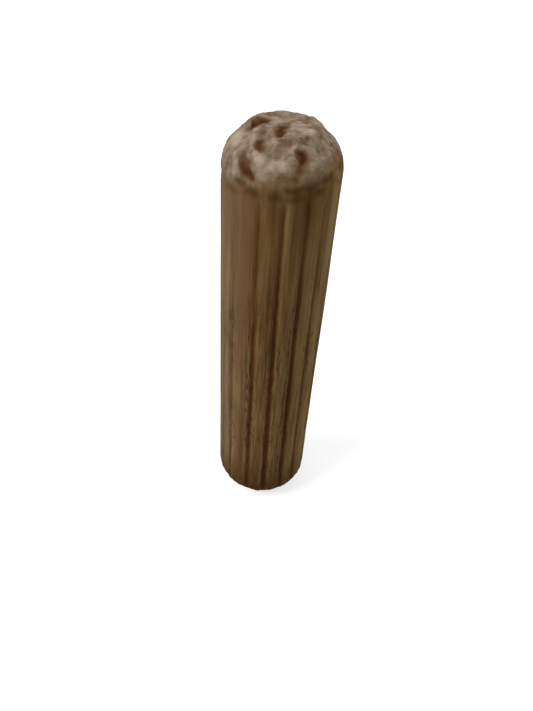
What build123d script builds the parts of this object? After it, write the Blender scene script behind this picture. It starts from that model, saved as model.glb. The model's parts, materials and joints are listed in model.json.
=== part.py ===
from build123d import *
import os
from math import atan2, radians, sin, tan

# A fluted wooden dowel pin, standing on its lower end.
# Millimetres. +Z runs along the pin, and the origin is the middle of the face it stands on.

# The pin
pin_length = 35.0
pin_diameter = 8.0

# The pointed ends, alike at both ends
nose_height = 1.70  # from the end face down to where the cone would meet the full diameter
end_face_diameter = 4.32
shoulder_radius = 2.45  # blends the cone into the straight side
end_edge_radius = 0.30

# The pressed glue flutes
flute_count = 16
flute_mouth = 0.64  # width of the V where it meets the full diameter
flute_angle = 96.0  # between the two walls of the V
flute_root_radius = 0.10
cutter_overhang = 0.5  # how far the flute cutter stands out of the wood

pin_radius = pin_diameter / 2
end_face_radius = end_face_diameter / 2
flute_slope = radians(flute_angle / 2)
flute_point = pin_radius - flute_mouth / 2 / tan(flute_slope)  # the V's point, before it is rounded
flute_depth = pin_radius - flute_point - flute_root_radius * (1 / sin(flute_slope) - 1)
cutter_reach = pin_radius + cutter_overhang
cutter_half_width = (cutter_reach - flute_point) * tan(flute_slope)

# The straight side left between the two shoulders, which is what a hole grips
cone_slope = atan2(pin_radius - end_face_radius, nose_height)
shoulder_start = nose_height + shoulder_radius * tan(cone_slope / 2)
grip_length = pin_length - 2 * shoulder_start

os.makedirs("parts", exist_ok=True)

# One flute's cutter: a V with a rounded root, pointing at the pin's axis
with BuildSketch(Plane.XY) as flute_cutter:
    with BuildLine():
        Polyline(
            (flute_point, 0),
            (cutter_reach, cutter_half_width),
            (cutter_reach, -cutter_half_width),
            close=True,
        )
    make_face()
    fillet(vertices().sort_by(Axis.X)[0], radius=flute_root_radius)

with BuildPart() as dowel_pin:
    # The turned blank: half its outline, spun about the long axis
    with BuildSketch(Plane.XZ):
        with BuildLine():
            Polyline(
                (0, 0),
                (end_face_radius, 0),
                (pin_radius, nose_height),
                (pin_radius, pin_length - nose_height),
                (end_face_radius, pin_length),
                (0, pin_length),
                close=True,
            )
        make_face()
    revolve(axis=Axis.Z)
    # The widest rims are the shoulders, and the narrowest go round the end faces
    fillet(edges().filter_by(GeomType.CIRCLE).group_by(SortBy.RADIUS)[-1], radius=shoulder_radius)
    fillet(edges().filter_by(GeomType.CIRCLE).group_by(SortBy.RADIUS)[0], radius=end_edge_radius)

    # The flutes run from end to end and fade out on the cones
    with BuildSketch(Plane.XY):
        with PolarLocations(0, flute_count):
            add(flute_cutter.sketch)
    extrude(amount=pin_length, mode=Mode.SUBTRACT)

dowel_pin.part.label = "dowel_pin"
export_step(dowel_pin.part, "parts/dowel_pin.step")

print(f"straight side between the shoulders: {grip_length:.2f} mm, from z = {shoulder_start:.2f} mm")
print(f"flutes: {flute_count}, {flute_mouth:.2f} mm wide and {flute_depth:.2f} mm deep")
print(f"volume: {dowel_pin.part.volume:.1f} mm3")
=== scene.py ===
import json
from math import atan2, cos, pi, radians, sin, sqrt, tan

import bpy
import numpy as np
from mathutils import Matrix, Vector, noise


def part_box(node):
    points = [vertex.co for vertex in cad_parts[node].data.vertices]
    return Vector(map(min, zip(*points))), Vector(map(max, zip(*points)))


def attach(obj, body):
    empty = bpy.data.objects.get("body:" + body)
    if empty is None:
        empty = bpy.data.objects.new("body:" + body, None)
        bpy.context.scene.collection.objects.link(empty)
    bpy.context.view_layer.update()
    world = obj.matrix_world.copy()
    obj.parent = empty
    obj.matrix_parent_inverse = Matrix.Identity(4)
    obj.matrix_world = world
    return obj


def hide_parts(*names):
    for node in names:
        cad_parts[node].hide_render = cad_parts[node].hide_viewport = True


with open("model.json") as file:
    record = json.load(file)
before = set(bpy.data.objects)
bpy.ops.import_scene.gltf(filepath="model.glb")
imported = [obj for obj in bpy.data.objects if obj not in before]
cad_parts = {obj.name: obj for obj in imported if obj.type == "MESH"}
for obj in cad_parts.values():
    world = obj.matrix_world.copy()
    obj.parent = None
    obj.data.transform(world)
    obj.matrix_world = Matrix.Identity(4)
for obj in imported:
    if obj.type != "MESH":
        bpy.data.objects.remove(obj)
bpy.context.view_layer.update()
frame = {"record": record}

mm = 0.001
pinNode = "dowel_pin"

# the camera stands a little to the left of the flute that faces -Y
# angles in degrees, distances in metres
cameraLook = {
    "aroundPin": -4.75,
    "awayFromPin": 0.03764,
    "aboveFloor": 0.04992,
    "lookDown": 42.46,
    "turnLeft": 0.25,
    "roll": 4.03,
    "lens": 31.06,
}


def frontAngle():
    # the direction out of the pin that faces the camera, as an angle from +X
    return radians(cameraLook["aroundPin"] - 90)


# lengths in mm, angles in degrees round from the front, anticlockwise seen from above
dowelForm = {
    "noseHeight": 1.70,
    "endFaceRadius": 2.16,
    "shoulderRadius": 2.45,
    "endEdgeRadius": 0.30,
    "fluteCount": 16,
    "fluteMouth": 0.64,
    "fluteSlope": 0.98,  # how steeply a flute's walls go in
    "fluteRootRound": 0.07,
    "fluteEdgeRound": 0.025,
    "fluteTwist": -0.04,  # degrees for each mm up the pin
    "fullDarkDepth": 0.24,  # a flute this deep takes the full darker colour
    "stepsPerFlute": 24,
    "sideRings": 140,
    "endRingStep": 0.08,
    "shoulderRingStep": 0.10,
}

# how far each kind of unevenness goes, in mm
dowelWear = {
    "seed": 7.0,
    "waviness": 0.035,
    "fibreRidges": 0.014,
    "splinters": 0.026,
    "fluteWander": 0.04,
    "edgeBurr": 0.022,
    "crushedEnd": 0.076,
    "crushedLumps": 0.028,
    "crushedFine": 0.010,
    "wrinkles": 0.05,
    "lipStep": 0.05,
    "upperCrush": 2.35,  # how far from each end face the crushed wood reaches
    "crushLean": 0.65,  # further down on the left, less on the right
    "lowerCrush": 1.1,
    "flutesStart": 3.2,  # how far below the upper end the flutes open out
    "upperShallow": 0.42,  # how much of the flutes' depth is lost near the upper end
    "footLumps": 0.08,
}

# flutes pressed off their even places or less deep: even place, (shift in degrees, depth)
pressedFlutes = {-40: (-5.6, 0.75), -63: (0.5, 0.35), -18: (0.0, 0.85), 50: (-3.8, 0.72), 72: (-4.2, 0.5)}

# pits torn in the upper end. from and to are (angle, distance from the middle along the surface)
endPits = [
    {"from": (-78, 2.10), "to": (-112, 1.50), "width": 0.52, "depth": 0.28, "dark": 1.1},
    {"from": (-62, 2.45), "to": (-78, 2.10), "width": 0.42, "depth": 0.12, "dark": 0.5},
    {"from": (-14, 0.40), "to": (-10, 1.55), "width": 0.46, "depth": 0.25, "dark": 1.15},
    {"from": (-42, 1.65), "to": (-36, 2.55), "width": 0.40, "depth": 0.13, "dark": 0.6},
    {"from": (-34, 2.65), "to": (-31, 3.00), "width": 0.46, "depth": 0.19, "dark": 1.1},
    {"from": (4, 2.45), "to": (-6, 3.00), "width": 0.50, "depth": 0.17, "dark": 0.38},
    {"from": (23, 3.15), "to": (21, 3.40), "width": 0.42, "depth": 0.18, "dark": 1.15},
    {"from": (19, 3.55), "to": (13, 4.60), "width": 0.42, "depth": 0.09, "dark": 0.6},
    {"from": (-46, 3.95), "to": (-39, 4.15), "width": 0.50, "depth": 0.13, "dark": 0.75},
    {"from": (-39, 4.35), "to": (-30, 4.85), "width": 0.42, "depth": 0.17, "dark": 0.95},
    {"from": (-44, 5.30), "to": (-38, 5.50), "width": 0.26, "depth": 0.08, "dark": 0.6},
    {"from": (52, 5.20), "to": (60, 5.30), "width": 0.22, "depth": 0.08, "dark": 0.5},
    {"from": (43, 3.15), "to": (44, 3.35), "width": 0.24, "depth": 0.10, "dark": 0.35},
    {"from": (37, 2.30), "to": (36, 2.45), "width": 0.20, "depth": 0.08, "dark": 0.3},
    {"from": (150, 1.30), "to": (165, 1.75), "width": 0.24, "depth": 0.12, "dark": 0.4},
    {"from": (110, 3.05), "to": (118, 3.35), "width": 0.26, "depth": 0.14, "dark": 0.5},
    {"from": (-150, 3.40), "to": (-158, 3.60), "width": 0.26, "depth": 0.14, "dark": 0.5},
]

# smooth pale facets on the upper end: (angle, distance from the middle, half width, strength)
# the patch on the left slope and the one at the far side are painted highlight, where the light catches the
# end
paleFacetsAndHighlights = [(-84, 3.30, 0.75, 0.6), (172, 1.85, 0.5, 0.5), (-20, 4.0, 0.75, 0.3), (36, 4.0, 0.6, 0.2),
              (-5, 5.4, 0.45, 0.35), (17, 5.3, 0.3, 0.35), (95, 4.0, 0.6, 0.4)]

# pits in the end it stands on
footPits = [
    {"from": (40, 0.60), "to": (75, 1.10), "width": 0.22, "depth": 0.20, "dark": 0.8},
    {"from": (-130, 1.40), "to": (-120, 1.80), "width": 0.20, "depth": 0.18, "dark": 0.7},
    {"from": (160, 2.70), "to": (168, 3.10), "width": 0.22, "depth": 0.20, "dark": 0.7},
    {"from": (-60, 3.00), "to": (-52, 3.20), "width": 0.18, "depth": 0.15, "dark": 0.6},
]

# small dark nicks and bruises in the side: (angle, height, half width, half length, depth)
# the dents round the shoulder near 32 mm also carry painted shadow under the crushed lip above them
sideNicks = [
    (-23, 31.95, 0.48, 0.26, 0.04), (-4, 31.90, 0.55, 0.24, 0.05), (14, 31.85, 0.60, 0.30, 0.05),
    (36, 32.15, 0.45, 0.30, 0.04), (70, 32.2, 0.50, 0.25, 0.04), (-41, 32.3, 0.50, 0.25, 0.04),
    (130, 32.0, 0.50, 0.25, 0.04), (165, 32.1, 0.45, 0.25, 0.04), (-140, 31.95, 0.50, 0.24, 0.04),
    (27, 26.4, 0.10, 0.20, 0.07), (-18, 25.4, 0.09, 0.45, 0.06), (5, 9.6, 0.14, 0.20, 0.07),
    (-62, 19.4, 0.06, 0.45, 0.05), (-50, 17.6, 0.06, 0.50, 0.05), (48, 12.6, 0.08, 0.30, 0.06),
    (-44, 13.2, 0.05, 0.60, 0.04), (31, 14.2, 0.07, 0.50, 0.05), (160, 21.0, 0.08, 0.50, 0.06),
]

# broad paler (+) and darker (-) streaks down the side: (angle, half width in degrees, strength)
# on the front the paler streaks are partly painted highlight, along ridges beside the flutes that catch the
# light
toneAndHighlightStreaks = [
    (-55, 4, 0.20), (-40, 3.5, 0.16), (-26, 5, -0.14), (-10, 4.0, 0.26), (-2, 4, 0.04), (13, 5, 0.10),
    (30, 3, 0.10), (39, 5, 0.28), (62, 7, 0.30), (104, 8, -0.15), (140, 6, 0.25), (175, 5, -0.10),
    (-155, 6, 0.20), (-120, 8, 0.15), (-95, 6, -0.12),
]

# broad reddish bands down the side: (angle, half width in degrees, strength)
redBands = [(-32, 6, 0.8), (-62, 5, 0.2), (12, 4, 0.15), (104, 9, 0.4), (-152, 7, 0.35)]


def pinSizes():
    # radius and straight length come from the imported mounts, the height from the node's box
    grip = next(m for m in frame["record"]["mounts"] if m["name"] == "upper_end")["dims"]
    low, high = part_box(pinNode)
    return grip["r_mm"], grip["length_mm"], (high[2] - low[2]) / mm


pinRadius, gripLength, pinLength = pinSizes()


def noseOutline():
    # rings of the upper nose from the axis outwards, as (radius, depth below the end, outward, upward)
    form = dowelForm
    coneSlope = atan2(pinRadius - form["endFaceRadius"], form["noseHeight"])  # from the axis
    turn = pi / 2 - coneSlope
    edge, shoulder = form["endEdgeRadius"], form["shoulderRadius"]
    flatRadius = form["endFaceRadius"] - edge * tan(turn / 2)
    rings = []

    flatSteps = round(flatRadius / form["endRingStep"])
    for i in range(1, flatSteps + 1):
        rings.append((flatRadius * i / flatSteps, 0.0, 0.0, 1.0))

    edgeSteps = 3
    for i in range(1, edgeSteps + 1):
        a = pi / 2 - turn * i / edgeSteps
        rings.append((flatRadius + edge * cos(a), edge - edge * sin(a), cos(a), sin(a)))

    # the shoulder's arc starts where the cone ends
    shoulderDepth = (pinLength - gripLength) / 2
    arcCentre = (pinRadius - shoulder, shoulderDepth)
    arcStart = (arcCentre[0] + shoulder * cos(coneSlope), shoulderDepth - shoulder * sin(coneSlope))
    coneFrom = rings[-1][:2]
    coneSteps = round(sqrt((arcStart[0] - coneFrom[0]) ** 2 + (arcStart[1] - coneFrom[1]) ** 2)
                      / form["endRingStep"])
    for i in range(1, coneSteps + 1):
        t = i / coneSteps
        rings.append((coneFrom[0] + (arcStart[0] - coneFrom[0]) * t,
                      coneFrom[1] + (arcStart[1] - coneFrom[1]) * t, cos(coneSlope), sin(coneSlope)))

    arcSteps = round(shoulder * coneSlope / form["shoulderRingStep"])
    for i in range(1, arcSteps + 1):
        a = coneSlope * (1 - i / arcSteps)
        rings.append((arcCentre[0] + shoulder * cos(a), shoulderDepth - shoulder * sin(a), cos(a), sin(a)))
    return rings


def outlineRings():
    # the whole outline from the top's middle to the foot's middle, as (radius, height, outward, upward)
    nose = noseOutline()
    upper = [(r, pinLength - d, out, up) for r, d, out, up in nose]
    lower = [(r, d, out, -up) for r, d, out, up in reversed(nose)]
    steps = dowelForm["sideRings"]
    top, bottom = upper[-1][1], lower[0][1]
    side = [(pinRadius, top + (bottom - top) * i / steps, 1.0, 0.0) for i in range(1, steps)]
    return upper + side + lower


def ringCount(radius):
    # fewer points round as the ring gets smaller, always halved
    count = dowelForm["fluteCount"] * dowelForm["stepsPerFlute"]
    while count > 12 and radius < pinRadius * 0.33 * count / (dowelForm["fluteCount"]
                                                             * dowelForm["stepsPerFlute"]):
        count //= 2
    return count


def grainNoise(points, size, stretch=1.0, shift=0.0, detail=1):
    # smooth noise from -1 to 1; size in mm, stretched along the pin
    seed = dowelWear["seed"] + shift
    scaled = points / size
    scaled[:, 2] /= stretch
    scaled += (seed * 1.7, seed * 2.3, seed * 3.1)
    if detail == 1:
        return np.array([noise.noise(Vector(p)) for p in scaled])
    return np.array([noise.fractal(Vector(p), 0.9, 2.1, detail) for p in scaled])


def smoothStep(low, high, value):
    t = np.clip((value - low) / (high - low), 0, 1)
    return t * t * (3 - 2 * t)


def surfacePoint(angle, reach, upper):
    # a point on the even nose: angle from the front, reach along the surface from the middle
    nose = noseOutline()
    travelled, last = 0.0, (0.0, 0.0)
    for r, d, out, up in nose:
        travelled += sqrt((r - last[0]) ** 2 + (d - last[1]) ** 2)
        last = (r, d)
        if travelled >= reach:
            break
    a = frontAngle() + radians(angle)
    z = pinLength - last[1] if upper else last[1]
    return np.array((last[0] * cos(a), last[0] * sin(a), z))


def pitDepths(points, pits, upper):
    # how deep and how dark each point lies in the pits
    depth = np.zeros(len(points))
    dark = np.zeros(len(points))
    bend = [grainNoise(points, 0.8, shift=31 + i) for i in range(3)]
    points = points + 0.28 * np.stack(bend, axis=1)
    ragged = grainNoise(points, 0.6, shift=21) * 0.7 + grainNoise(points, 0.28, shift=22) * 0.3
    for pit in pits:
        a = surfacePoint(*pit["from"], upper)
        b = surfacePoint(*pit["to"], upper)
        along = np.clip(((points - a) @ (b - a)) / ((b - a) @ (b - a)), 0, 1)
        away = np.linalg.norm(points - (a + along[:, None] * (b - a)), axis=1)
        away = away / pit["width"] + ragged * 0.5
        inside = 1 - smoothStep(0.0, 1.45, away)
        depth = np.maximum(depth, inside * pit["depth"])
        dark = np.maximum(dark, (1 - smoothStep(0.0, 1.5, away)) * pit["dark"])
    return depth, dark


def fluteDepth(angles, heights, points):
    # how far the flutes cut in at each point, in mm, and how near the point is to a flute's edge
    form, wear = dowelForm, dowelWear
    pitch = 2 * pi / form["fluteCount"]
    angles = angles - radians(form["fluteTwist"]) * (heights - pinLength * 0.7)
    flute = np.round(angles / pitch)
    centre = flute * pitch
    evenPlace = np.degrees((centre - frontAngle() + pi) % (2 * pi) - pi)
    shift = np.zeros(len(angles))
    pressed = np.ones(len(angles))
    for place, (move, depth) in pressedFlutes.items():
        here = np.abs(evenPlace - place) < 6
        shift[here] = radians(move)
        pressed[here] = depth
    # each flute has its own depth and width, and wanders a little
    own = np.stack([np.cos(centre) * 40, np.sin(centre) * 40, heights / 9], axis=1)
    wander = grainNoise(own, 1.0, shift=1) * wear["fluteWander"]
    depthFactor = 1 + 0.16 * grainNoise(own * (1, 1, 0.6) + 5, 1.0, shift=2)
    widthFactor = (1 + 0.14 * grainNoise(own * (1, 1, 0.8) + 9, 1.0, shift=3)) * (0.5 + 0.5 * pressed)
    torn = grainNoise(points, 0.20, stretch=4, shift=4) * 0.04

    across = (angles - centre - shift + pi) % (2 * pi) - pi
    across = across * pinRadius + wander
    half = form["fluteMouth"] / 2 * widthFactor + torn
    into = half - np.sqrt(across ** 2 + form["fluteRootRound"] ** 2)
    into = into * form["fluteSlope"]
    cut = depthFactor * pressed * 0.5 * (into + np.sqrt(into ** 2 + form["fluteEdgeRound"] ** 2))
    edge = np.exp(-((np.abs(across) - half - 0.05) / 0.08) ** 2)
    ragged = 0.3 * wander / wear["fluteWander"]
    opened = smoothStep(-0.7, 0.8, pinLength - heights - wear["flutesStart"] + ragged)
    opened = opened * (1 - wear["upperShallow"] * smoothStep(17, 30, heights))
    return cut * opened, edge * opened


def alongLine(fromFront, place, halfWidth):
    # 1 on a line down the side, fading out to both sides of it
    across = np.degrees((fromFront - radians(place) + pi) % (2 * pi) - pi) / halfWidth
    return np.exp(-across ** 2)


def shapePoints(rings):
    # every point of every ring, pushed in or out, with what the colours need to know about it
    pointRows, radii, heights, angles, outs, ups = [], [], [], [], [], []
    for r, z, out, up in rings:
        n = ringCount(r)
        pointRows.append(n)
        a = np.arange(n) * 2 * pi / n
        angles.append(a)
        for values, value in ((radii, r), (heights, z), (outs, out), (ups, up)):
            values.append(np.full(n, value))
    radius, height, angle, out, up = (np.concatenate(v) for v in (radii, heights, angles, outs, ups))
    even = np.stack([radius * np.cos(angle), radius * np.sin(angle), height], axis=1)

    wear = dowelWear
    fromEnd = np.minimum(height, pinLength - height)
    isTop = height > pinLength / 2

    # crushed end grain covers the end and the cone, with a ragged lower border
    fromFront = (angle - frontAngle() + pi) % (2 * pi) - pi
    upperBorder = wear["upperCrush"] - wear["crushLean"] * np.sin(fromFront)
    border = np.where(isTop, upperBorder, wear["lowerCrush"])
    border = border + 0.22 * grainNoise(even, 1.6, shift=5) + 0.14 * grainNoise(even, 0.55, shift=6)
    below = fromEnd - border
    endGrain = 1 - smoothStep(-1.1, 0.45, below)
    # the band under the crushed border is dented and darkened, partly painted shadow under the crushed lip
    lip = np.where(below > 0, np.exp(-((below - 0.35) / 0.32) ** 2), 0.0)
    lip = lip * smoothStep(-0.35, 0.25, grainNoise(even, 1.1, shift=7))

    lumps = grainNoise(even, 1.0, shift=8, detail=2)
    smallLumps = grainNoise(even, 0.45, shift=13, detail=2)
    fine = grainNoise(even, 0.20, shift=9, detail=2)
    wrinkles = grainNoise(even * (0.38, 1, 0.7), 0.38, shift=15, detail=2)
    fibres = grainNoise(even, 0.16, stretch=16, shift=10, detail=2)
    splinters = grainNoise(even, 0.30, stretch=9, shift=11)
    wave = grainNoise(even, 2.2, stretch=3, shift=12)

    push = wear["waviness"] * (wave - 0.5)
    # the upper part is rubbed smoother than the lower
    coarse = 1 - 0.5 * smoothStep(19, 27, height)
    torn = wear["fibreRidges"] * fibres + wear["splinters"] * np.minimum(splinters, 0)
    push += (1 - endGrain) * coarse * torn
    crushed = (wear["crushedEnd"] * (lumps - 0.08) + wear["crushedLumps"] * smallLumps
               + wear["wrinkles"] * wrinkles + wear["crushedFine"] * fine)
    push += endGrain * crushed
    # painted shade in the hollows between the crushed lumps, and painted light on their tops
    lumpShade = np.clip(0.5 - crushed / 0.16, 0, 1)
    footEdge = np.where(isTop, 0, np.exp(-((height - 1.3) / 1.0) ** 2))
    push += wear["footLumps"] * footEdge * (grainNoise(even, 0.75, shift=16, detail=2) - 0.35)
    push -= wear["lipStep"] * lip

    topDepth, topDark = pitDepths(even, endPits, True)
    footDepth, footDark = pitDepths(even, footPits, False)
    pitDepth = np.where(isTop, topDepth, footDepth)
    pitDark = np.where(isTop, topDark, footDark)
    push -= pitDepth

    nick = np.zeros(len(even))
    ragged = 1 + 0.5 * smallLumps
    for place, z, halfWidth, halfLength, depth in sideNicks:
        across = ((fromFront - radians(place) + pi) % (2 * pi) - pi) * pinRadius
        here = np.exp(-((across / halfWidth) ** 2 + ((height - z) / halfLength) ** 2) * ragged)
        nick = np.maximum(nick, here)
        push -= depth * here

    pale = np.zeros(len(even))
    for place, reach, halfWidth, strength in paleFacetsAndHighlights:
        away = np.linalg.norm(even - surfacePoint(place, reach, True), axis=1) / halfWidth
        pale = np.maximum(pale, strength * np.exp(-(away + 0.35 * smallLumps) ** 2))

    red = np.zeros(len(even))
    for place, halfWidth, strength in redBands:
        red = np.maximum(red, strength * alongLine(fromFront, place, halfWidth))
    bandNoise = grainNoise(even, 1.1, stretch=9, shift=14)
    red = red * np.clip(1 + 0.9 * bandNoise, 0, 1.4)
    # streaks of the wood's uneven tone, partly painted highlight in front
    streak = np.zeros(len(even))
    for place, halfWidth, strength in toneAndHighlightStreaks:
        streak += strength * alongLine(fromFront, place, halfWidth)
    streak = streak * np.clip(1 + 0.7 * bandNoise, 0, 1.5)

    # flutes cut to a set distance from the axis, so they fade out on the cones
    cut, edge = fluteDepth(angle, height, even)
    onSide = smoothStep(0.8, 0.97, radius / pinRadius)
    push += wear["edgeBurr"] * edge * onSide * (1 - endGrain)
    pushedRadius = np.minimum(radius + push * out, pinRadius)
    gap = pushedRadius - (pinRadius - cut + 0.01 * fine)
    soft = 0.03
    inFlute = 0.5 * (gap + np.sqrt(gap ** 2 + soft ** 2)) - soft / 2
    inFlute = np.where(radius > pinRadius * 0.8, np.maximum(inFlute, 0), 0)
    newRadius = np.maximum(pushedRadius - inFlute, 0)
    newHeight = np.clip(height + push * up, 0, pinLength)

    points = np.stack([newRadius * np.cos(angle), newRadius * np.sin(angle), newHeight], axis=1)
    hollow = np.clip(inFlute / dowelForm["fullDarkDepth"], 0, 1)
    # painted sheen: the wood turns paler and greyer round to the left, the side the light comes from
    paintedSheen = smoothStep(15, 55, -np.degrees(fromFront))  # greyer round to the left
    # painted shade: darker and browner towards the foot, whose cone faces down, away from the light
    foot = np.where(isTop, 0, 1 - smoothStep(1.2, 7.0, height + 0.8 * lumps))
    facts = {"endGrain": endGrain, "hollow": hollow, "pit": pitDark, "lip": np.maximum(lip, nick),
             "pale": pale, "lumpShade": lumpShade, "streak": streak, "paintedSheen": paintedSheen,
             "edge": edge * onSide * (1 - endGrain), "red": red, "foot": foot}
    return points, pointRows, facts


def joinRings(rows):
    # faces between neighbouring rings, and a fan at each end
    starts = np.concatenate([[0], np.cumsum(rows)])
    faces = []
    for ring in range(len(rows) - 1):
        a, b = starts[ring], starts[ring + 1]
        n, m = rows[ring], rows[ring + 1]
        if n == m:
            faces += [(a + i, b + i, b + (i + 1) % n, a + (i + 1) % n) for i in range(n)]
        elif m == 2 * n:
            for i in range(n):
                j = (i + 1) % n
                faces.append((a + i, b + 2 * i, b + 2 * i + 1, a + j))
                faces.append((a + j, b + 2 * i + 1, b + (2 * i + 2) % m))
        else:
            for i in range(m):
                j = (i + 1) % m
                faces.append((a + 2 * i, b + i, b + j, a + 2 * i + 1))
                faces.append((a + 2 * i + 1, b + j, a + (2 * i + 2) % n))
    return faces, starts


def buildDowel():
    rings = outlineRings()
    points, rows, facts = shapePoints(rings)
    faces, starts = joinRings(rows)

    # close both ends round a middle point at the mean height of the smallest ring
    total = len(points)
    topMiddle = (0, 0, points[: rows[0], 2].mean())
    footMiddle = (0, 0, points[starts[-2]:, 2].mean())
    points = np.vstack([points, topMiddle, footMiddle])
    last = starts[-2]
    faces += [(total, i, (i + 1) % rows[0]) for i in range(rows[0])]
    faces += [(total + 1, last + (i + 1) % rows[-1], last + i) for i in range(rows[-1])]

    mesh = bpy.data.meshes.new("dowel")
    mesh.from_pydata((points * mm).tolist(), [], faces)
    for name, values in facts.items():
        layer = mesh.attributes.new(name, "FLOAT", "POINT")
        ends = [values[: rows[0]].mean(), values[last:].mean()]
        layer.data.foreach_set("value", np.concatenate([values, ends]).astype(np.float32))
    mesh.polygons.foreach_set("use_smooth", [True] * len(mesh.polygons))
    mesh.update()
    dowel = bpy.data.objects.new("dowel", mesh)
    bpy.context.collection.objects.link(dowel)
    return dowel


# colours as written in sRGB, 0 to 255
woodColours = {
    "sidePale": (141, 114, 71),
    "sideMiddle": (116, 87, 48),
    "sideDark": (84, 58, 26),
    "sideRed": (114, 79, 49),
    "edgeHighlightPale": (136, 113, 76),
    "pore": (56, 28, 8),
    "fluteBottomBrown": (86, 46, 15),
    "footShadeBrown": (70, 44, 14),
    "endPale": (172, 154, 135),
    "endMiddle": (143, 125, 106),
    "endDark": (110, 90, 69),
    "endFacetHighlight": (180, 167, 144),
    "endCrease": (92, 71, 49),
    "pitRust": (102, 75, 45),
    "pitDark": (74, 38, 11),
    "paintedSheenGrey": (124, 116, 100),
    "bruiseAndLipShadow": (76, 49, 23),
}

# how strongly each colour covers the wood under it, 0 to 1
woodCover = {
    "sideRed": 0.8,
    "paintedSheenGrey": 0.26,
    "fluteBottomBrown": 0.85,
    "footShadeBrown": 0.85,
    "pore": 0.85,
    "bruiseAndLipShadow": 0.78,
    "pitRust": 0.85,
    "pitDark": 0.9,
}

# sizes of the pattern in mm, across and along the grain
woodGrain = {
    "fibre": (0.11, 2.6),
    "streak": (0.42, 14.0),
    "band": (1.6, 10.0),
    "pore": (0.12, 0.75),
    "poreClump": (1.3, 6.0),
    "endSpeckle": (0.20, 0.20),
    "endPatch": (0.9, 0.9),
    "endWrinkle": (0.34, 0.34),
    "endCrease": (0.15, 0.15),
    "bumpHeight": 0.030,
}


def colour(name):
    # sRGB to the linear values that shaders take
    linear = []
    for part in woodColours[name]:
        c = part / 255
        linear.append(c / 12.92 if c <= 0.04045 else ((c + 0.055) / 1.055) ** 2.4)
    return (*linear, 1.0)


def addNode(tree, kind, inputs=None, **settings):
    made = tree.nodes.new(kind)
    for name, value in settings.items():
        setattr(made, name, value)
    for name, value in (inputs or {}).items():
        if isinstance(value, bpy.types.NodeSocket):
            tree.links.new(value, made.inputs[name])
        else:
            made.inputs[name].default_value = value
    return made


def mixColours(tree, amount, first, second):
    mix = addNode(tree, "ShaderNodeMix", {0: amount, 6: first, 7: second}, data_type="RGBA")
    return mix.outputs[2]


def calculate(tree, operation, first, second, clamp=False):
    return addNode(tree, "ShaderNodeMath", {0: first, 1: second}, operation=operation,
                   use_clamp=clamp).outputs[0]


def remap(tree, value, low, high, newLow=0.0, newHigh=1.0):
    return addNode(tree, "ShaderNodeMapRange", {"Value": value, "From Min": low, "From Max": high,
                                                "To Min": newLow, "To Max": newHigh}).outputs["Result"]


def grainPattern(tree, place, sizes, detail, roughness=0.55, distortion=0.0):
    # noise whose spots are sizes[0] mm wide and sizes[1] mm long
    across, along = sizes
    stretched = addNode(tree, "ShaderNodeMapping", {"Vector": place, "Scale": (1, 1, across / along)})
    return addNode(tree, "ShaderNodeTexNoise",
                   {"Vector": stretched.outputs[0], "Scale": 1 / (across * mm), "Detail": detail,
                    "Roughness": roughness, "Distortion": distortion}).outputs["Fac"]


def threeColours(tree, value, dark, middle, pale):
    ramp = addNode(tree, "ShaderNodeValToRGB", {"Fac": value})
    stops = ramp.color_ramp.elements
    stops[0].position, stops[0].color = 0.12, colour(dark)
    stops[1].position, stops[1].color = 0.88, colour(pale)
    stops.new(0.5).color = colour(middle)
    return ramp.outputs["Color"]


def surfaceFact(tree, name):
    return addNode(tree, "ShaderNodeAttribute", attribute_name=name).outputs["Fac"]


def lowerPart(tree, place, above):
    # 1 in the coarser lower part of the pin, fading to the value given above it
    height = addNode(tree, "ShaderNodeSeparateXYZ", {0: place}).outputs["Z"]
    return remap(tree, height, 19 * mm, 27 * mm, 1.0, above)


def porePattern(tree, place, nearFlute):
    # short dark dashes along the grain, in some of the cells and in loose groups
    across, along = woodGrain["pore"]
    stretched = addNode(tree, "ShaderNodeMapping", {"Vector": place, "Scale": (1, 1, across / along)})
    cells = addNode(tree, "ShaderNodeTexVoronoi", {"Vector": stretched.outputs[0],
                                                   "Scale": 1 / (across * mm), "Randomness": 1.0})
    chosen = addNode(tree, "ShaderNodeSeparateColor", {"Color": cells.outputs["Color"]})
    dot = remap(tree, cells.outputs["Distance"], 0.30, 0.50, 1.0, 0.0)
    some = remap(tree, chosen.outputs[0], 0.36, 0.50, 0.0, 1.0)
    clump = remap(tree, grainPattern(tree, place, woodGrain["poreClump"], 2), 0.42, 0.54, 0.05, 1.0)
    dashes = calculate(tree, "MULTIPLY", calculate(tree, "MULTIPLY", dot, some, clamp=True), clump)
    dashes = calculate(tree, "MULTIPLY", dashes, remap(tree, nearFlute, 0.0, 0.5, 0.3, 1.0))
    return calculate(tree, "MULTIPLY", dashes, lowerPart(tree, place, 0.25))


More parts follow.
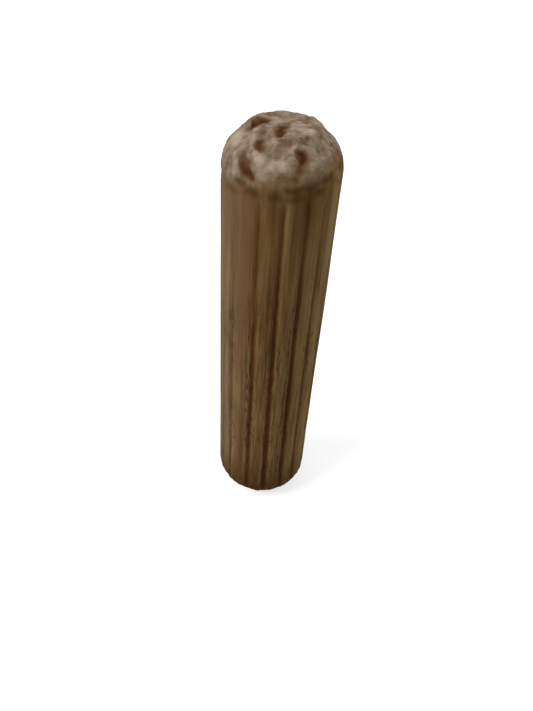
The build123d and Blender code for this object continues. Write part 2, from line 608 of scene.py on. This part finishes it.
def woodMaterial():
    material = bpy.data.materials.new("pressedBeech")
    material.use_nodes = True
    tree = material.node_tree
    tree.nodes.clear()
    place = addNode(tree, "ShaderNodeTexCoord").outputs["Object"]
    endGrain = surfaceFact(tree, "endGrain")
    hollow = surfaceFact(tree, "hollow")
    pit = surfaceFact(tree, "pit")
    lip = surfaceFact(tree, "lip")
    edge = surfaceFact(tree, "edge")
    red = surfaceFact(tree, "red")
    foot = surfaceFact(tree, "foot")
    pale = surfaceFact(tree, "pale")
    lumpShade = surfaceFact(tree, "lumpShade")
    paintedSheen = surfaceFact(tree, "paintedSheen")

    fibre = grainPattern(tree, place, woodGrain["fibre"], 3, 0.6)
    streak = grainPattern(tree, place, woodGrain["streak"], 2, 0.6, 0.3)
    band = grainPattern(tree, place, woodGrain["band"], 2, 0.5, 0.4)
    pore = porePattern(tree, place, calculate(tree, "ADD", hollow, edge))

    # the side: fibres, streaks and broad bands add up to one tone
    fibreTone = calculate(tree, "MULTIPLY", calculate(tree, "SUBTRACT", fibre, 0.5),
                          lowerPart(tree, place, 0.3))
    tone = calculate(tree, "MULTIPLY_ADD", fibreTone, 1.7)
    tone.node.inputs[2].default_value = 0.02
    streakTone = calculate(tree, "MULTIPLY_ADD", streak, 0.9)
    tree.links.new(tone, streakTone.node.inputs[2])
    bandTone = remap(tree, band, 0.3, 0.7, -0.22, 0.22)
    bandTone = calculate(tree, "ADD", bandTone, surfaceFact(tree, "streak"))
    sideTone = calculate(tree, "ADD", streakTone, bandTone, clamp=True)
    side = threeColours(tree, sideTone, "sideDark", "sideMiddle", "sidePale")
    side = mixColours(tree, calculate(tree, "MULTIPLY", red, woodCover["sideRed"]), side, colour("sideRed"))
    # painted sheen on the side turned to the light
    sheenAmount = calculate(tree, "MULTIPLY", paintedSheen, woodCover["paintedSheenGrey"])
    side = mixColours(tree, sheenAmount, side, colour("paintedSheenGrey"))
    # painted highlight along the flutes' edges, where the ridges catch the light, weaker on the smoother
    # upper part
    edgeHighlight = calculate(tree, "MULTIPLY", edge, remap(tree, streak, 0.35, 0.65, 0.1, 0.7))
    edgeHighlight = calculate(tree, "MULTIPLY", edgeHighlight, lowerPart(tree, place, 0.35))
    side = mixColours(tree, edgeHighlight, side, colour("edgeHighlightPale"))
    # a darker, redder brown towards the bottom of each flute
    fluteDarkening = remap(tree, hollow, 0.10, 0.60, 0.0, woodCover["fluteBottomBrown"])
    side = mixColours(tree, fluteDarkening, side, colour("fluteBottomBrown"))
    # the foot's brown is painted shade
    for fact, name in ((foot, "footShadeBrown"), (pore, "pore"), (lip, "bruiseAndLipShadow")):
        side = mixColours(tree, calculate(tree, "MULTIPLY", fact, woodCover[name]), side, colour(name))

    # the end: torn fibres seen end on
    speckle = grainPattern(tree, place, woodGrain["endSpeckle"], 4, 0.65)
    patch = grainPattern(tree, place, woodGrain["endPatch"], 3, 0.6)
    squeezed = addNode(tree, "ShaderNodeMapping", {"Vector": place, "Scale": (0.28, 1, 0.6)}).outputs[0]
    wrinkle = grainPattern(tree, squeezed, woodGrain["endWrinkle"], 3, 0.6, 0.3)
    fineTone = calculate(tree, "ADD", remap(tree, speckle, 0.25, 0.75, -0.12, 0.12),
                         remap(tree, wrinkle, 0.3, 0.7, -0.15, 0.15))
    # painted shade between the end's lumps, painted light on their tops
    fineTone = calculate(tree, "ADD", fineTone, remap(tree, lumpShade, 0.0, 1.0, 0.30, -0.34))
    endTone = calculate(tree, "ADD", fineTone, remap(tree, patch, 0.32, 0.68, 0.2, 0.8), clamp=True)
    end = threeColours(tree, endTone, "endDark", "endMiddle", "endPale")
    crease = grainPattern(tree, squeezed, woodGrain["endCrease"], 3, 0.6, 0.4)
    creases = calculate(tree, "MULTIPLY", remap(tree, crease, 0.37, 0.45, 0.7, 0.0),
                        remap(tree, patch, 0.35, 0.55, 1.0, 0.25))
    end = mixColours(tree, creases, end, colour("endCrease"))
    # pale patches on the end, partly painted highlight
    end = mixColours(tree, pale, end, colour("endFacetHighlight"))

    wood = mixColours(tree, endGrain, side, end)
    rust = remap(tree, pit, 0.0, 0.6, 0.0, woodCover["pitRust"])
    wood = mixColours(tree, rust, wood, colour("pitRust"))
    pitCore = remap(tree, pit, 0.45, 1.0, 0.0, woodCover["pitDark"])
    wood = mixColours(tree, pitCore, wood, colour("pitDark"))

    # fine relief under what the mesh can hold
    sideRelief = calculate(tree, "SUBTRACT", fibreTone, calculate(tree, "MULTIPLY", pore, 0.5))
    endRelief = calculate(tree, "ADD", calculate(tree, "MULTIPLY", speckle, 0.4), wrinkle)
    endRelief = calculate(tree, "SUBTRACT", endRelief, calculate(tree, "MULTIPLY", creases, 0.5))
    relief = addNode(tree, "ShaderNodeMix", {0: endGrain, 2: sideRelief, 3: endRelief}).outputs[0]
    bump = addNode(tree, "ShaderNodeBump", {"Height": relief, "Strength": 0.8,
                                            "Distance": woodGrain["bumpHeight"] * mm})
    rough = remap(tree, sideTone, 0.0, 1.0, 0.86, 0.68)
    rough = addNode(tree, "ShaderNodeMix", {0: endGrain, 2: rough, 3: 0.95}).outputs[0]
    shader = addNode(tree, "ShaderNodeBsdfPrincipled",
                     {"Base Color": wood, "Roughness": rough, "Normal": bump.outputs[0],
                      "Specular IOR Level": 0.07})
    addNode(tree, "ShaderNodeOutputMaterial", {"Surface": shader.outputs[0]})
    return material


stageLook = {
    "floorSize": 0.7,
    "floorGap": 0.02,  # mm below the foot, so the two faces don't flicker
    "floorColour": 0.75,
    "bounceColour": 0.16,  # what the floor throws back on the pin
    "floorLift": 0.55,
    "worldLight": 0.48,
    "keyPlace": (-66, 44, 0.45),  # degrees round from the front, degrees up, metres away
    "keySize": 0.28,
    "keyLevel": 0.69,
    "fillPlace": (115, 25, 0.50),
    "fillSize": 0.35,
    "fillLevel": 0.30,
}


def seenDirectly(tree):
    # 1 for what the camera sees straight on, in a mirror or through glass
    path = addNode(tree, "ShaderNodeLightPath")
    seen = calculate(tree, "ADD", path.outputs["Is Camera Ray"], path.outputs["Is Glossy Ray"])
    return calculate(tree, "ADD", seen, path.outputs["Is Transmission Ray"], clamp=True)


def buildFloor():
    half = stageLook["floorSize"] / 2
    mesh = bpy.data.meshes.new("floor")
    low = -stageLook["floorGap"] * mm
    corners = [(-half, -half, low), (half, -half, low), (half, half, low), (-half, half, low)]
    mesh.from_pydata(corners, [], [(0, 1, 2, 3)])
    floor = bpy.data.objects.new("floor", mesh)
    bpy.context.collection.objects.link(floor)
    material = bpy.data.materials.new("whitePaper")
    material.use_nodes = True
    tree = material.node_tree
    tree.nodes.clear()
    seen = seenDirectly(tree)
    grey = (stageLook["bounceColour"],) * 3 + (1,)
    white = (stageLook["floorColour"],) * 3 + (1,)
    plain = addNode(tree, "ShaderNodeBsdfDiffuse", {"Color": mixColours(tree, seen, grey, white)})
    lift = addNode(tree, "ShaderNodeEmission",
                   {"Strength": calculate(tree, "MULTIPLY", seen, stageLook["floorLift"])})
    both = addNode(tree, "ShaderNodeAddShader", {0: plain.outputs[0], 1: lift.outputs[0]})
    addNode(tree, "ShaderNodeOutputMaterial", {"Surface": both.outputs[0]})
    mesh.materials.append(material)


def buildWorld():
    world = bpy.data.worlds.new("studio")
    bpy.context.scene.world = world
    world.use_nodes = True
    tree = world.node_tree
    tree.nodes.clear()
    seen = seenDirectly(tree)
    level = remap(tree, seen, 0, 1, stageLook["worldLight"], 1.0)
    sky = addNode(tree, "ShaderNodeBackground", {"Color": (1, 1, 1, 1), "Strength": level})
    addNode(tree, "ShaderNodeOutputWorld", {"Surface": sky.outputs[0]})


def addSoftLight(name, place, size, level):
    # level 1 lights a surface that faces it just enough to show its colour as written
    around, up, away = place
    a = frontAngle() + radians(around)
    spot = Vector((cos(a) * cos(radians(up)), sin(a) * cos(radians(up)), sin(radians(up)))) * away
    target = Vector((0, 0, pinLength * mm / 2))
    lamp = bpy.data.lights.new(name, "AREA")
    lamp.shape = "DISK"
    lamp.size = size
    lamp.energy = level * pi * pi * away * away
    holder = bpy.data.objects.new(name, lamp)
    holder.location = target + spot
    holder.rotation_euler = (-spot).to_track_quat("-Z", "Y").to_euler()
    bpy.context.collection.objects.link(holder)


def buildCamera():
    look = cameraLook
    down, left, roll = (radians(look[k]) for k in ("lookDown", "turnLeft", "roll"))
    forward = Vector((-sin(left) * cos(down), cos(left) * cos(down), -sin(down)))
    level = Vector((cos(left), sin(left), 0))
    upright = level.cross(forward)
    right = cos(roll) * level + sin(roll) * upright
    above = -sin(roll) * level + cos(roll) * upright
    turned = Matrix.Rotation(radians(look["aroundPin"]), 3, "Z")
    axes = turned @ Matrix((right, above, -forward)).transposed()
    camera = bpy.data.cameras.new("camera")
    camera.lens = look["lens"]
    camera.sensor_width = 36
    camera.clip_start, camera.clip_end = 0.001, 20
    holder = bpy.data.objects.new("camera", camera)
    place = turned @ Vector((0, -look["awayFromPin"], look["aboveFloor"]))
    holder.matrix_world = Matrix.Translation(place) @ axes.to_4x4()
    bpy.context.collection.objects.link(holder)
    bpy.context.scene.camera = holder


bpy.context.scene.view_settings.view_transform = "Standard"
buildCamera()
buildFloor()
buildWorld()
addSoftLight("keyLight", stageLook["keyPlace"], stageLook["keySize"], stageLook["keyLevel"])
addSoftLight("fillLight", stageLook["fillPlace"], stageLook["fillSize"], stageLook["fillLevel"])
print("camera, floor and light are set")

dowel = buildDowel()
dowel.data.materials.append(woodMaterial())
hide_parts(pinNode)
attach(dowel, "root")
print(f"dowel built with {len(dowel.data.polygons)} faces")
